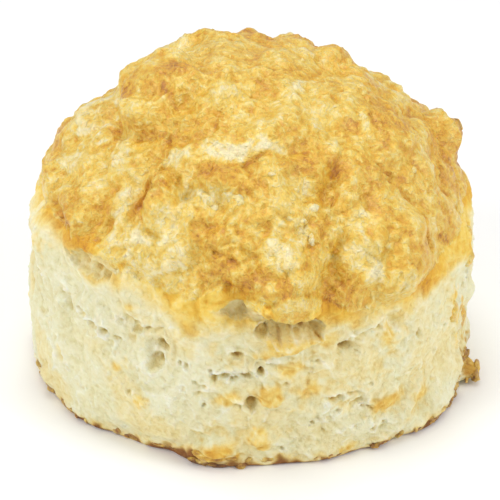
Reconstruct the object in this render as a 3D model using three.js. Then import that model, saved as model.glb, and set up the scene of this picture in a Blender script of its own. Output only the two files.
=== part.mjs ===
// A tall cheese scone, cut with a plain round cutter and baked until its top cracked into lobes.
// It is one closed solid: a flat base, a barrel-shaped wall and a domed crust. The lobes, creases,
// torn pockets and melted nubs are relief in that solid, pushed out or in along the surface's normal.
import * as THREE from "three";
import { mergeVertices } from "three/addons/utils/BufferGeometryUtils.js";

// Driving dimensions of the plain body, in millimetres, with +Z up from the base
const BASE_RADIUS = 34.5;
const BELLY_RADIUS = 35;
const SHOULDER_RADIUS = 34.6;
const SHOULDER_HEIGHT = 22;
const HEIGHT = 51;
const RIM_ROUNDING = 0.8;

// The surface is an icosphere wrapped onto the body: its top RIM_SHARE covers dome and wall
const SPHERE_DETAIL = 23;
const RIM_SHARE = 0.82;

// Features are placed by azimuth, 0 at the front and growing to the right, and by elevation, both in
// degrees as seen from this height on the axis
const SIGHT_HEIGHT = 20;

// Lobes stand out of the crust: azimuth, elevation, half width, half height, rise, and softness,
// from near 0, a plateau with a steep edge, to 1, a gentle swell
const LOBES = [
  [-70, 63, 11.0, 10.0, 2.4, 0.5], // plateau at the upper left
  [-135, 57, 6.0, 5.0, 1.8, 0.8], // knolls on the skyline
  [-177, 68, 7.0, 5.5, 1.3, 0.8],
  [124, 62, 5.5, 4.5, 1.5, 0.8],
  [2, 31, 11.5, 12.0, 1.7, 0.6], // the large front lobe
  [7, 18, 7.0, 5.5, 0.8, 0.8],
  [41, 23, 8.5, 9.0, 1.3, 0.6], // right of it, behind the deep crease
  [58, 48, 11.0, 8.5, 0.9, 0.7],
  [-28.5, 35, 3.2, 5.4, 1.4, 0.7], // upright nub at the front left
  [-54, 26, 5.8, 4.6, 1.5, 0.6], // browned lobe on the left shoulder
  [-84, 38, 3.5, 6.0, 0.6, 0.8],
  [99, 27, 5.2, 5.0, 2.6, 0.7], // knob on the right skyline
  [9, 12.5, 7.4, 3.6, 0.9, 0.7], // lip that hangs over the front pocket
  [53, -27, 20.0, 7.5, 2.1, 1.0], // foot that spread in baking, front right
  [-148, 24, 8.0, 9.0, 1.2, 0.6], // the back, which cracks as the front does
  [172, 33, 9.5, 9.0, 1.4, 0.6],
  [134, 24, 8.5, 8.0, 1.3, 0.6],
  [155, 12, 7.4, 3.6, 0.9, 0.7],
  [-128, 12, 5.4, 3.2, 1.1, 0.6],
];

// Pockets and holes torn into the wall and under the crust, in the same columns, with a depth
const POCKETS = [
  [9, 6, 6.0, 2.9, 2.5, 0.8], // front pocket under the lip
  [-3, 11, 2.8, 2.0, 1.2, 0.8],
  [-42, 15, 5.6, 2.4, 1.1, 0.8], // hollows under the left shoulder
  [-52, 0, 2.0, 3.0, 0.9, 0.9],
  [-29, 3.5, 4.2, 2.4, 0.9, 0.9],
  [-22.5, -3, 2.2, 3.2, 1.1, 0.9],
  [-4, -7.5, 4.4, 2.2, 1.1, 0.9],
  [0, -13.5, 2.4, 2.3, 1.1, 0.9],
  [24, -1.7, 2.6, 2.0, 1.1, 0.9],
  [37, 1.5, 2.3, 2.6, 1.2, 0.9],
  [27, -17.5, 4.0, 2.2, 0.9, 0.9],
  [-32, -29, 11.0, 4.5, 2.0, 1.0], // foot that stayed in, front left
  [-117, 38, 12.0, 11.5, 2.7, 1.0], // flat left of the plateau
  [-83, 20.5, 8.0, 6.0, 2.0, 1.0],
  [-72, 7, 6.0, 6.0, 0.6, 1.0],
  [-76, -19, 6.0, 5.0, 0.8, 1.0],
  [-86, 1, 5.0, 4.5, 1.3, 1.0], // dip in the left outline
  [106, 9, 4.2, 2.3, 1.3, 0.8], // right side and back
  [112, -8, 2.8, 2.4, 1.1, 0.9],
  [152, 5, 6.0, 2.5, 2.0, 0.8],
  [178, -10, 3.6, 2.4, 1.2, 0.9],
  [-128, 6.5, 5.0, 2.2, 1.6, 0.8],
  [-152, -11, 2.7, 2.9, 1.1, 0.9],
  [-96, -8, 3.2, 2.2, 1.1, 0.9],
];

// Nubs of cheese that melted out of the wall and fried at the foot
const NUBS = [
  [72, 5, 2.6, 3.2, 0.9, 0.9],
  [76, -7, 2.4, 2.8, 0.9, 0.9],
  [73, -28, 3.6, 3.0, 2.9, 0.8],
  [84, -24, 4.0, 4.0, 0.8, 0.9],
  [-9, -29, 6.0, 3.0, 0.6, 0.9],
  [3, -23.5, 2.6, 2.0, 0.7, 0.9],
  [-7, -25.5, 4.2, 2.0, 0.7, 0.8],
  [-65, -25, 2.6, 2.4, 0.9, 0.8],
  [120, -25, 3.2, 2.2, 1.0, 0.8],
  [-165, -24, 3.6, 2.2, 1.0, 0.8],
  [-112, -24, 2.8, 2.2, 0.9, 0.8],
];

// Creases run between the lobes: half width, depth, then azimuth and elevation of each point
const CREASES = [
  [3.0, 1.4, [29, 41], [25, 35], [22, 27], [22, 19], [17, 13]], // deep, right of the front lobe
  [3.2, 0.9, [-34, 45], [-13, 49], [9, 51]], // shallow, above it
  [2.4, 0.8, [-39, 44], [-35.5, 35], [-34, 28]],
  [2.4, 1.0, [-80, 50], [-60, 47], [-40, 48]], // foot of the upper left plateau
  [2.5, 1.1, [-160, 60], [-168, 44], [-171, 26]], // the back
  [2.5, 1.2, [150, 52], [151, 36], [150, 23]],
  [2.4, 1.0, [-132, 48], [-130, 36], [-128, 23]],
  [2.3, 0.9, [84, 54], [88, 40], [84, 28]],
];

// Unevenness of the dough: wavelength and height of each layer of noise. Billows are round-topped
// with sharp valleys, as dough is where it has risen and cracked.
const CRUST_NOISE = [
  [17, 0.7],
  [7, 0.3],
];
const CRUST_BILLOWS = [10, 0.8];
const WALL_NOISE = [
  [18, 0.5],
  [7, 0.3],
];
const NOISE_GAIN = 2.4;
const BILLOW_MEAN = 0.6;
const EDGE_WANDER = 0.3; // how far a feature's outline strays, as a share of its size
const EDGE_WAVELENGTH = 5;
const FOOT_HEIGHT = 2.2; // below this, relief turns from the normal to level, so the base stays flat
const CRUST_STARTS = 19; // heights between which wall relief gives way to crust relief
const CRUST_IS_FULL = 28;

// The meridian of the plain body, as radius and height, from the crown down to the base's edge.
function makeMeridian() {
  const path = new THREE.CurvePath();
  const dome = HEIGHT - SHOULDER_HEIGHT;
  path.add(new THREE.EllipseCurve(0, SHOULDER_HEIGHT, SHOULDER_RADIUS, dome, Math.PI / 2, 0, true));
  const rimTop = new THREE.Vector2(BASE_RADIUS, RIM_ROUNDING);
  path.add(
    new THREE.QuadraticBezierCurve(
      new THREE.Vector2(SHOULDER_RADIUS, SHOULDER_HEIGHT),
      new THREE.Vector2(2 * BELLY_RADIUS - (SHOULDER_RADIUS + BASE_RADIUS) / 2, SHOULDER_HEIGHT / 2),
      rimTop,
    ),
  );
  path.add(
    new THREE.EllipseCurve(
      BASE_RADIUS - RIM_ROUNDING,
      RIM_ROUNDING,
      RIM_ROUNDING,
      RIM_ROUNDING,
      0,
      -Math.PI / 2,
      true,
    ),
  );
  return path;
}

const meridian = makeMeridian();

// Point and outward normal of the plain body at an azimuth in radians and a share of the meridian.
function bodyPoint(azimuth, share) {
  const at = meridian.getPointAt(share);
  const along = meridian.getTangentAt(share);
  const outward = new THREE.Vector3(Math.sin(azimuth), -Math.cos(azimuth), 0);
  const point = outward.clone().multiplyScalar(at.x).setZ(at.y);
  const normal = outward.multiplyScalar(-along.y).setZ(along.x).normalize();
  return { point, normal };
}

// The meridian share that is seen at an elevation from the sight point, found by halving.
function shareAtElevation(elevation) {
  let [low, high] = [0, 1];
  for (let step = 0; step < 30; step += 1) {
    const middle = (low + high) / 2;
    const at = meridian.getPointAt(middle);
    if (Math.atan2(at.y - SIGHT_HEIGHT, at.x) > elevation) low = middle;
    else high = middle;
  }
  return low;
}

function place(azimuthDegrees, elevationDegrees) {
  const azimuth = THREE.MathUtils.degToRad(azimuthDegrees);
  const share = shareAtElevation(THREE.MathUtils.degToRad(elevationDegrees));
  const { point, normal } = bodyPoint(azimuth, share);
  const across = new THREE.Vector3(Math.cos(azimuth), Math.sin(azimuth), 0);
  return { point, normal, across, up: normal.clone().cross(across) };
}

// A repeatable number from -1 to 1 for each corner of a cubic lattice and each axis.
function cornerSlope(i, j, k, axis) {
  let hash = Math.imul(i, 374761393) ^ Math.imul(j, 668265263);
  hash ^= Math.imul(k, 1274126177) ^ Math.imul(axis + 1, 951274213);
  hash = Math.imul(hash ^ (hash >>> 15), 1103515245);
  hash = Math.imul(hash ^ (hash >>> 13), 668265263);
  return ((hash ^ (hash >>> 16)) >>> 0) / 2 ** 31 - 1;
}

// Smooth noise, about -1 to 1: each corner of a lattice cell slopes its own way, and the slopes are
// eased together across the cell.
function noise(point, wavelength) {
  const scaled = point.clone().divideScalar(wavelength);
  const cell = scaled.clone().floor();
  const offset = scaled.sub(cell);
  const ease = offset.clone();
  for (const axis of ["x", "y", "z"])
    ease[axis] = offset[axis] ** 3 * (6 * offset[axis] ** 2 - 15 * offset[axis] + 10);
  let sum = 0;
  for (let corner = 0; corner < 8; corner += 1) {
    const [i, j, k] = [corner & 1, (corner >> 1) & 1, corner >> 2];
    const weight =
      (i ? ease.x : 1 - ease.x) * (j ? ease.y : 1 - ease.y) * (k ? ease.z : 1 - ease.z);
    const at = [cell.x + i, cell.y + j, cell.z + k];
    sum +=
      weight *
      (cornerSlope(...at, 0) * (offset.x - i) +
        cornerSlope(...at, 1) * (offset.y - j) +
        cornerSlope(...at, 2) * (offset.z - k));
  }
  return NOISE_GAIN * sum;
}

const layeredNoise = (point, layers) =>
  layers.reduce((sum, [wavelength, height]) => sum + height * noise(point, wavelength), 0);

const billows = (point, [wavelength, height]) =>
  height * (2 * Math.abs(noise(point, wavelength)) - BILLOW_MEAN);

// 1 inside a feature's ellipse, falling smoothly to 0 at its wandering outline.
function cover(feature, point, wander) {
  const offset = point.clone().sub(feature.point);
  const distance = Math.hypot(
    offset.dot(feature.across) / feature.halfWidth,
    offset.dot(feature.up) / feature.halfHeight,
    offset.dot(feature.normal) / Math.max(feature.halfWidth, feature.halfHeight),
  );
  return THREE.MathUtils.smoothstep((1 - distance + wander) / feature.softness, 0, 1);
}

const toFeature = ([azimuth, elevation, halfWidth, halfHeight, rise, softness], sign) => ({
  ...place(azimuth, elevation),
  halfWidth,
  halfHeight,
  rise: sign * rise,
  softness,
});
const features = [
  ...LOBES.map((row) => toFeature(row, 1)),
  ...POCKETS.map((row) => toFeature(row, -1)),
  ...NUBS.map((row) => toFeature(row, 1)),
];

const creases = CREASES.map(([halfWidth, depth, ...stops]) => ({
  halfWidth,
  depth,
  stops: stops.map(([azimuth, elevation]) => place(azimuth, elevation).point),
}));

// How deep a crease is at a point: a rounded groove along the line through its stops.
function creaseDepth(crease, point, wander) {
  const nearest = new THREE.Vector3();
  let distance = Infinity;
  for (let i = 1; i < crease.stops.length; i += 1) {
    const stretch = new THREE.Line3(crease.stops[i - 1], crease.stops[i]);
    stretch.closestPointToPoint(point, true, nearest);
    distance = Math.min(distance, nearest.distanceTo(point));
  }
  const across = 1 - distance / crease.halfWidth + wander;
  return crease.depth * THREE.MathUtils.smoothstep(across, 0, 1);
}

// Total relief, outwards, at a point of the plain body.
function relief(point) {
  const crustShare = THREE.MathUtils.smoothstep(point.z, CRUST_STARTS, CRUST_IS_FULL);
  const crust = layeredNoise(point, CRUST_NOISE) + billows(point, CRUST_BILLOWS);
  const wall = layeredNoise(point, WALL_NOISE);
  const dough = crustShare * crust + (1 - crustShare) * wall;
  const wander = EDGE_WANDER * noise(point, EDGE_WAVELENGTH);
  const raised = features.reduce((sum, f) => sum + f.rise * cover(f, point, wander), 0);
  const grooved = creases.reduce((sum, c) => sum + creaseDepth(c, point, wander), 0);
  return dough + raised - grooved;
}

// Point of the finished surface at an azimuth and a share of the meridian.
function surfacePoint(azimuth, share) {
  const { point, normal } = bodyPoint(azimuth, share);
  const level = new THREE.Vector3(Math.sin(azimuth), -Math.cos(azimuth), 0);
  const direction = level.lerp(normal, THREE.MathUtils.smoothstep(point.z, 0, FOOT_HEIGHT));
  return point.clone().addScaledVector(direction, relief(point));
}

// Wraps the icosphere onto the body: angle from the pole sets the share of the meridian, or, past
// RIM_SHARE, how far the flat base has run in from its edge to its middle.
function makeScone() {
  const geometry = new THREE.IcosahedronGeometry(1, SPHERE_DETAIL);
  geometry.deleteAttribute("normal");
  geometry.deleteAttribute("uv");
  const scone = mergeVertices(geometry);
  const position = scone.getAttribute("position");
  const vertex = new THREE.Vector3();
  for (let i = 0; i < position.count; i += 1) {
    vertex.fromBufferAttribute(position, i).normalize();
    const azimuth = Math.atan2(vertex.x, -vertex.y);
    const down = Math.acos(THREE.MathUtils.clamp(vertex.z, -1, 1)) / Math.PI;
    vertex.copy(surfacePoint(azimuth, Math.min(down / RIM_SHARE, 1)));
    if (down > RIM_SHARE) vertex.multiplyScalar((1 - down) / (1 - RIM_SHARE));
    position.setXYZ(i, vertex.x, vertex.y, vertex.z);
  }
  centreOnBase(scone);
  scone.computeVertexNormals();
  return scone;
}

// Puts the middle of the base's bounding box at the origin.
function centreOnBase(geometry) {
  geometry.computeBoundingBox();
  const middle = geometry.boundingBox.getCenter(new THREE.Vector3());
  geometry.translate(-middle.x, -middle.y, -geometry.boundingBox.min.z);
}

const bakedDough = new THREE.MeshStandardMaterial({ color: 0xe9c877, roughness: 0.75, metalness: 0 });
const mesh = new THREE.Mesh(makeScone(), bakedDough);
mesh.name = "scone";
const part = new THREE.Group();
part.add(mesh);

export default part;
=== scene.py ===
"""A tall round cheese scone, golden and cracked on top and pale and torn at the side, on a white floor."""
import itertools

import bpy
import numpy as np
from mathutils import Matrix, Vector


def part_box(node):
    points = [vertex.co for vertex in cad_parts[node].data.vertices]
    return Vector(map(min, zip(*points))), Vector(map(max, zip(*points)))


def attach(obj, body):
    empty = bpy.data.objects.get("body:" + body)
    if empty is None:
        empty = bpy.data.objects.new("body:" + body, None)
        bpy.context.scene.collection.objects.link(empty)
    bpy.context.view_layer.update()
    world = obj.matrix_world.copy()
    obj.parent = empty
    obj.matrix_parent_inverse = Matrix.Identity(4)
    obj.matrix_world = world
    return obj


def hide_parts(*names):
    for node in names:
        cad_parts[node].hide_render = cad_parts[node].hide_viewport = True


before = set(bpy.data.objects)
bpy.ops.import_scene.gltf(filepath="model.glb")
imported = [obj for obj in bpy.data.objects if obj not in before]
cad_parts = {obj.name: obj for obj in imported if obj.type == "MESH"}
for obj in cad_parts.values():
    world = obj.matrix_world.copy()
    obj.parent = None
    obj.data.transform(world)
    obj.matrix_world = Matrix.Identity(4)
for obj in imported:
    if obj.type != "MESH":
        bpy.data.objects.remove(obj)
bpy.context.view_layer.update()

# The mound of dough: soft dough cut round and risen in the oven, the form that crumb and crust share.
# It is worked out in millimetres from the same driving sizes as the CAD solid: a barrel-shaped wall
# under a dome, pushed out into lobes and in at creases and pockets, along the surface's normal.
MM = 0.001
BASE_RADIUS = 34.5
BELLY_RADIUS = 35
SHOULDER_RADIUS = 34.6
SHOULDER_HEIGHT = 22
HEIGHT = 51
RIM_ROUNDING = 0.8
SIGHT_HEIGHT = 20  # azimuth and elevation are seen from here; azimuth 0 is the front, 90 the right
NOISE_GAIN = 2.4
BILLOW_MEAN = 0.6
EDGE_WANDER = 0.3  # how far a feature's outline strays, as a share of its size
EDGE_WAVELENGTH = 5
FOOT_HEIGHT = 2.2  # below this, relief turns from the normal to level, so the base stays flat
CRUST_STARTS = 19
CRUST_IS_FULL = 28
CRUST_WAVES = [(17, 0.7), (7, 0.3)]  # wavelength and height
CRUST_BILLOWS = (10, 0.8)
WALL_WAVES = [(18, 0.5), (7, 0.3)]

# Azimuth, elevation, half width, half height, rise, and softness of the edge
LOBES = [
    (-70, 63, 11.0, 10.0, 2.4, 0.5),  # plateau at the upper left
    (-135, 57, 6.0, 5.0, 1.8, 0.8),  # knolls on the skyline
    (-177, 68, 7.0, 5.5, 1.3, 0.8),
    (124, 62, 5.5, 4.5, 1.5, 0.8),
    (2, 31, 11.5, 12.0, 1.7, 0.6),  # the large front lobe
    (7, 18, 7.0, 5.5, 0.8, 0.8),
    (41, 23, 8.5, 9.0, 1.3, 0.6),  # right of it, behind the deep crease
    (58, 48, 11.0, 8.5, 0.9, 0.7),
    (-28.5, 35, 3.2, 5.4, 1.4, 0.7),  # upright nub at the front left
    (-54, 26, 5.8, 4.6, 1.5, 0.6),  # browned lobe on the left shoulder
    (-84, 38, 3.5, 6.0, 0.6, 0.8),
    (99, 27, 5.2, 5.0, 2.6, 0.7),  # knob on the right skyline
    (9, 12.5, 7.4, 3.6, 0.9, 0.7),  # lip that hangs over the front pocket
    (53, -27, 20.0, 7.5, 2.1, 1.0),  # foot that spread in baking, front right
    (-148, 24, 8.0, 9.0, 1.2, 0.6),  # the back, which cracks as the front does
    (172, 33, 9.5, 9.0, 1.4, 0.6),
    (134, 24, 8.5, 8.0, 1.3, 0.6),
    (155, 12, 7.4, 3.6, 0.9, 0.7),
    (-128, 12, 5.4, 3.2, 1.1, 0.6),
    (72, 5, 2.6, 3.2, 0.9, 0.9),  # nubs of melted cheese on the wall and the foot
    (76, -7, 2.4, 2.8, 0.9, 0.9),
    (73, -28, 3.6, 3.0, 2.9, 0.8),
    (84, -24, 4.0, 4.0, 0.8, 0.9),
    (-9, -29, 6.0, 3.0, 0.6, 0.9),
    (3, -23.5, 2.6, 2.0, 0.7, 0.9),
    (-7, -25.5, 4.2, 2.0, 0.7, 0.8),
    (-65, -25, 2.6, 2.4, 0.9, 0.8),
    (120, -25, 3.2, 2.2, 1.0, 0.8),
    (-165, -24, 3.6, 2.2, 1.0, 0.8),
    (-112, -24, 2.8, 2.2, 0.9, 0.8),
]

# The same, with a depth in place of the rise
POCKETS = [
    (-52, 0, 2.0, 3.0, 0.9, 0.9),
    (-29, 3.5, 4.2, 2.4, 0.9, 0.9),
    (-22.5, -3, 2.2, 3.2, 1.1, 0.9),
    (-4, -7.5, 4.4, 2.2, 1.1, 0.9),
    (0, -13.5, 2.4, 2.3, 1.1, 0.9),
    (24, -1.7, 2.6, 2.0, 1.1, 0.9),
    (37, 1.5, 2.3, 2.6, 1.2, 0.9),
    (27, -17.5, 4.0, 2.2, 0.9, 0.9),
    (-32, -29, 11.0, 4.5, 2.0, 1.0),  # foot that stayed in, front left
    (-117, 38, 12.0, 11.5, 2.7, 1.0),  # flat left of the plateau
    (-83, 20.5, 8.0, 6.0, 2.0, 1.0),
    (-72, 7, 6.0, 6.0, 0.6, 1.0),
    (-76, -19, 6.0, 5.0, 0.8, 1.0),
    (-86, 1, 5.0, 4.5, 1.3, 1.0),  # dip in the left outline
    (112, -8, 2.8, 2.4, 1.1, 0.9),  # right side and back
    (178, -10, 3.6, 2.4, 1.2, 0.9),
    (-152, -11, 2.7, 2.9, 1.1, 0.9),
    (-96, -8, 3.2, 2.2, 1.1, 0.9),
]

# Pockets that the crust hangs over
HOLLOWS = [
    (9, 6, 6.0, 2.9, 2.5, 0.8),  # front pocket under the lip
    (-3, 11, 2.8, 2.0, 1.2, 0.8),
    (-42, 15, 5.6, 2.4, 1.1, 0.8),  # under the left shoulder
    (106, 9, 4.2, 2.3, 1.3, 0.8),
    (152, 5, 6.0, 2.5, 2.0, 0.8),
    (-128, 6.5, 5.0, 2.2, 1.6, 0.8),
]

# Places where those pockets are torn wider, in the same columns, with no depth of their own
TORN_WIDER = [
    (-1.6, 10.2, 4.8, 1.5, 0, 0.7),
    (10.2, 5.4, 5.6, 2.3, 0, 0.5),
    (-44, 15.2, 5.2, 1.5, 0, 0.7),
]

# Half width, depth, then azimuth and elevation of each point along the crease
CREASES = [
    (3.0, 1.4, (29, 41), (25, 35), (22, 27), (22, 19), (17, 13)),  # deep, right of the front lobe
    (3.2, 0.9, (-34, 45), (-13, 49), (9, 51)),  # shallow, above it
    (2.4, 0.8, (-39, 44), (-35.5, 35), (-34, 28)),
    (2.4, 1.0, (-80, 50), (-60, 47), (-40, 48)),  # foot of the upper left plateau
    (2.5, 1.1, (-160, 60), (-168, 44), (-171, 26)),  # the back
    (2.5, 1.2, (150, 52), (151, 36), (150, 23)),
    (2.4, 1.0, (-132, 48), (-130, 36), (-128, 23)),
    (2.3, 0.9, (84, 54), (88, 40), (84, 28)),
]


def meridian():
    """The plain body's side from crown to foot: distance walked, radius, height and outward normal, for
    a quarter ellipse, then a parabola through the belly, then the rim's quarter circle."""
    turn = np.linspace(0, np.pi / 2, 900)
    share = np.linspace(0, 1, 600)[1:]
    corner = turn[1::30]
    belly = 2 * BELLY_RADIUS - (SHOULDER_RADIUS + BASE_RADIUS) / 2
    ends, middle = (1 - share) ** 2, 2 * share * (1 - share)
    radius = np.concatenate([
        SHOULDER_RADIUS * np.sin(turn),
        ends * SHOULDER_RADIUS + middle * belly + share**2 * BASE_RADIUS,
        BASE_RADIUS - RIM_ROUNDING * (1 - np.cos(corner)),
    ])
    height = np.concatenate([
        SHOULDER_HEIGHT + (HEIGHT - SHOULDER_HEIGHT) * np.cos(turn),
        ends * SHOULDER_HEIGHT + middle * SHOULDER_HEIGHT / 2 + share**2 * RIM_ROUNDING,
        RIM_ROUNDING * (1 - np.sin(corner)),
    ])
    walked = np.concatenate([[0], np.cumsum(np.hypot(np.diff(radius), np.diff(height)))])
    return walked, radius, height, -np.gradient(height, walked), np.gradient(radius, walked)


WALKED, RADII, HEIGHTS, OUT, UP = meridian()


def plain_body(azimuth, walked):
    """Point and outward normal of the plain body, at an azimuth in radians and at a distance walked
    down the meridian from the crown."""
    radius, height, out, up = (np.interp(walked, WALKED, row) for row in (RADII, HEIGHTS, OUT, UP))
    east, south = np.sin(azimuth), -np.cos(azimuth)
    point = np.stack([radius * east, radius * south, height], -1)
    return point, np.stack([out * east, out * south, up], -1)


def walk_to(elevation):
    """How far down the meridian the plain body is seen at an elevation in degrees."""
    seen = np.degrees(np.arctan2(HEIGHTS - SIGHT_HEIGHT, RADII))
    return np.interp(-np.asarray(elevation, float), -seen, WALKED)


def smooth(value):
    """0 below 0, 1 above 1, and eased between by the cubic 3x^2 - 2x^3."""
    held = np.clip(value, 0, 1)
    return held * held * (3 - 2 * held)


def corner_slope(i, j, k, axis):
    """A repeatable number from -1 to 1 for each lattice corner and axis, by mixing the bits of its
    three whole numbers."""
    bits = i * np.uint32(374761393) ^ j * np.uint32(668265263)
    bits ^= k * np.uint32(1274126177) ^ np.uint32((axis + 1) * 951274213 % 2**32)
    bits = (bits ^ (bits >> np.uint32(15))) * np.uint32(1103515245)
    bits = (bits ^ (bits >> np.uint32(13))) * np.uint32(668265263)
    return (bits ^ (bits >> np.uint32(16))) / 2**31 - 1


def lattice(corner):
    """The three whole numbers of each lattice corner, as bits that wrap round."""
    return (corner[:, axis].astype(np.int64).astype(np.uint32) for axis in range(3))


def noise(point, wavelength):
    """Smooth noise, about -1 to 1: each corner of a lattice cell slopes its own way, and the slopes are
    eased together across the cell by 6x^5 - 15x^4 + 10x^3."""
    scaled = point / wavelength
    cell = np.floor(scaled)
    offset = scaled - cell
    ease = offset**3 * (6 * offset**2 - 15 * offset + 10)
    total = np.zeros(len(point))
    for step in itertools.product((0, 1), repeat=3):
        weight = np.prod(np.where(step, ease, 1 - ease), axis=1)
        i, j, k = lattice(cell + step)
        slope = sum(corner_slope(i, j, k, axis) * (offset[:, axis] - step[axis]) for axis in range(3))
        total += weight * slope
    return NOISE_GAIN * total


def place(azimuth, elevation):
    """Point, normal, level direction and upward direction of the plain body's surface there."""
    turn = np.radians(azimuth)
    point, normal = plain_body(turn, walk_to(elevation))
    across = np.stack([np.cos(turn), np.sin(turn), np.zeros_like(turn)], -1)
    return point, normal, across, np.cross(normal, across)


def cover(spot, point, wander, turn=0):
    """1 inside an ellipse laid on the surface at a spot (azimuth, elevation, half width, half height,
    amount, softness), falling to 0 at its wandering outline. Turn tips it anticlockwise, in degrees."""
    azimuth, elevation, half_width, half_height, _, softness = spot[:6]
    middle, normal, across, up = place(azimuth, elevation)
    tip = np.radians(turn)
    along = np.cos(tip) * across + np.sin(tip) * up
    over = np.cos(tip) * up - np.sin(tip) * across
    offset = point - middle
    distance = np.sqrt(
        (offset @ along / half_width) ** 2
        + (offset @ over / half_height) ** 2
        + (offset @ normal / max(half_width, half_height)) ** 2
    )
    return smooth((1 - distance + wander) / softness)


def distance_to_line(stops, point):
    """Distance to the nearest of the straight stretches between stops (azimuth, elevation)."""
    corners = [place(*stop)[0] for stop in stops]
    nearest = np.full(len(point), np.inf)
    for start, end in zip(corners, corners[1:]):
        way = end - start
        share = np.clip((point - start) @ way / (way @ way), 0, 1)
        nearest = np.minimum(nearest, np.linalg.norm(point - start - share[:, None] * way, axis=1))
    return nearest


def dough_relief(point, hollow_share=1):
    """How far the dough stands out of the plain body: waves and billows, plus lobes, less pockets,
    hollows and creases. The crust takes up only a share of the hollows."""
    crust_share = smooth((point[:, 2] - CRUST_STARTS) / (CRUST_IS_FULL - CRUST_STARTS))
    length, height = CRUST_BILLOWS
    crust = sum(high * noise(point, long) for long, high in CRUST_WAVES)
    crust += height * (2 * np.abs(noise(point, length)) - BILLOW_MEAN)
    wall = sum(high * noise(point, long) for long, high in WALL_WAVES)
    relief = crust_share * crust + (1 - crust_share) * wall
    wander = EDGE_WANDER * noise(point, EDGE_WAVELENGTH)
    relief += sum(lobe[4] * cover(lobe, point, wander) for lobe in LOBES)
    relief -= sum(pocket[4] * cover(pocket, point, wander) for pocket in POCKETS)
    relief -= hollow_share * sum(hollow[4] * cover(hollow, point, wander) for hollow in HOLLOWS)
    for half_width, depth, *stops in CREASES:
        relief -= depth * smooth(1 - distance_to_line(stops, point) / half_width + wander)
    return relief


def push_direction(azimuth, point, normal):
    """The way that relief pushes a point: along the normal, turning level near the floor."""
    level = np.stack([np.sin(azimuth), -np.cos(azimuth), np.zeros_like(azimuth)], -1)
    share = smooth(point[:, 2:] / FOOT_HEIGHT)
    return level + (normal - level) * share


def centring():
    """The move that puts the middle of the dough's box over the origin, as the CAD solid has it."""
    azimuth, walked = np.meshgrid(np.radians(np.arange(0, 360, 1.5)), np.linspace(0, WALKED[-1], 90))
    azimuth, walked = azimuth.ravel(), walked.ravel()
    point, normal = plain_body(azimuth, walked)
    pushed = point + push_direction(azimuth, point, normal) * dough_relief(point)[:, None]
    middle = (pushed.min(0) + pushed.max(0)) / 2
    low, high = (np.array(corner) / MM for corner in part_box("scone"))
    return np.array([*((low + high) / 2 - middle)[:2], 0])


TO_CENTRE = centring()

# The crumb: the scone's pale wall and base, soft wheat dough that the cutter left torn and open, with
# holes, ragged shreds and patches of melted cheese. It is one closed body that runs up under the crust.
CRUMB_COLUMNS = 720
CROWDING = 0.2  # how much closer than even the columns stand at the front
WALL_ROWS = 124
LID_ROWS = 2
BASE_ROWS = 9
LID_SINK = 1.6  # how deep the crumb lies under the crust
SOFT_SEAM = 2.4  # over this width the crust's edge sinks into the crumb, where it lies flat on it
HARD_SEAM = 1.4  # and where it hangs over a hollow
TUCK = 9  # how far, in degrees, it runs up under the crust before it closes

# Where the crust ends, by azimuth and elevation: it hangs lowest over the front right
CRUST_EDGE = [
    (-180, 9), (-150, 5), (-128, 9.5), (-100, 13), (-72, 16), (-52, 17), (-42, 17.5), (-30, 12),
    (-14, 8.5), (-10, 11.5), (-7, 13.4), (-2.4, 13), (-0.6, 10.8), (1.4, 10.2), (3.6, 10.8), (4.6, 11.4),
    (5.2, 10), (6.2, 8.8), (8, 8), (11, 7.6), (14, 8), (16, 8.8), (17.4, 9.4), (19, 8.2), (24, 5.5),
    (30, 3.5), (40, 4.5), (52, 6.5), (62, 8.5),
    (80, 11), (95, 12), (115, 7), (135, 8), (150, 8.5), (165, 5),
]

# Where the golden colour gives way to pale crumb
GOLD_EDGE = [
    (-180, 6), (-150, 2), (-128, 4), (-100, 10), (-72, 15), (-55, 15), (-42, 13), (-30, 9),
    (-22, 5.5), (-14, 4), (-6, 3.5), (0, 5), (6, 3), (14, 2), (24, 3), (32, 2.4), (40, 1.6),
    (50, 3), (62, 3), (80, 5), (95, 9), (115, 3), (135, 5), (150, 4), (165, 1),
]

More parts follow.
